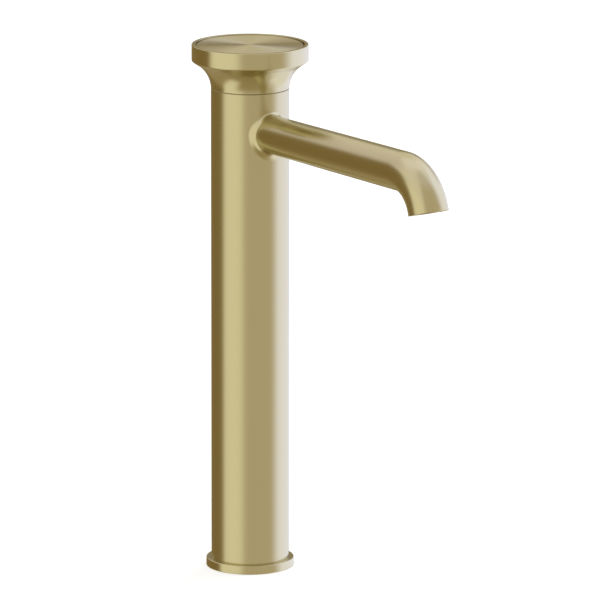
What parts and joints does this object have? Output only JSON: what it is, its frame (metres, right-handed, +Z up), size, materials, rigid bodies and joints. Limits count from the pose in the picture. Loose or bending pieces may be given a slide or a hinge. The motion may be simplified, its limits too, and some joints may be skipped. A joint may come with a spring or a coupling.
{
  "type": "bathroom mixer tap",
  "caption": "Tall single-hole basin mixer tap: round column on a base ring, level spout that turns down at its end, and a wide flared knob on top that turns.",
  "frame": {"origin": "centre of the base ring's underside, on the worktop", "axes": "+Z up along the column's axis, spout towards -Y, +X to the right seen from the front"},
  "size_m": [0.0672, 0.2217, 0.3082],
  "materials": {
    "brushed_gold": "brushed champagne gold, satin",
    "machined_brass": "machined",
    "steel": "satin",
    "rubber": "matte",
    "white_plastic": "moulded",
    "ceramic": "lapped",
    "black_plastic": "moulded",
    "copper": "drawn copper"
  },
  "bodies": {
    "tap": {"base_gasket": "rubber", "base_ring": "brushed_gold", "column_tube": "brushed_gold", "base_circlip": "steel", "base_plug": "machined_brass", "supply_tube_hot": "copper", "supply_tube_cold": "copper", "supply_o_rings": "rubber", "valve_seat": "machined_brass", "spout_shank": "machined_brass", "shank_seal": "rubber", "spout_lock_screw": "steel", "spout_tube": "brushed_gold", "spout_collar": "brushed_gold", "aerator_seal": "rubber", "flow_regulator": "black_plastic", "aerator_screen": "steel", "aerator_core": "white_plastic", "aerator_housing": "steel", "port_seals": "rubber", "cartridge_base": "white_plastic", "fixed_disc": "ceramic", "cartridge_housing": "white_plastic", "cartridge_nut": "machined_brass", "glide_ring": "black_plastic"},
    "knob": {"moving_disc": "ceramic", "disc_carrier": "black_plastic", "spindle": "machined_brass", "spindle_seal": "rubber", "limit_ring": "white_plastic", "knob_insert": "white_plastic", "knob_shell": "brushed_gold", "screw_washer": "steel", "knob_screw": "steel", "cap_seal": "rubber", "knob_cap": "brushed_gold"}
  },
  "joints": [
    {"name": "knob_turn", "type": "hinge", "parent": "tap", "child": "knob", "pos_m": [0, 0, 0.2828], "axis": [0, 0, 1], "range_deg": [0, 100]}
  ]
}
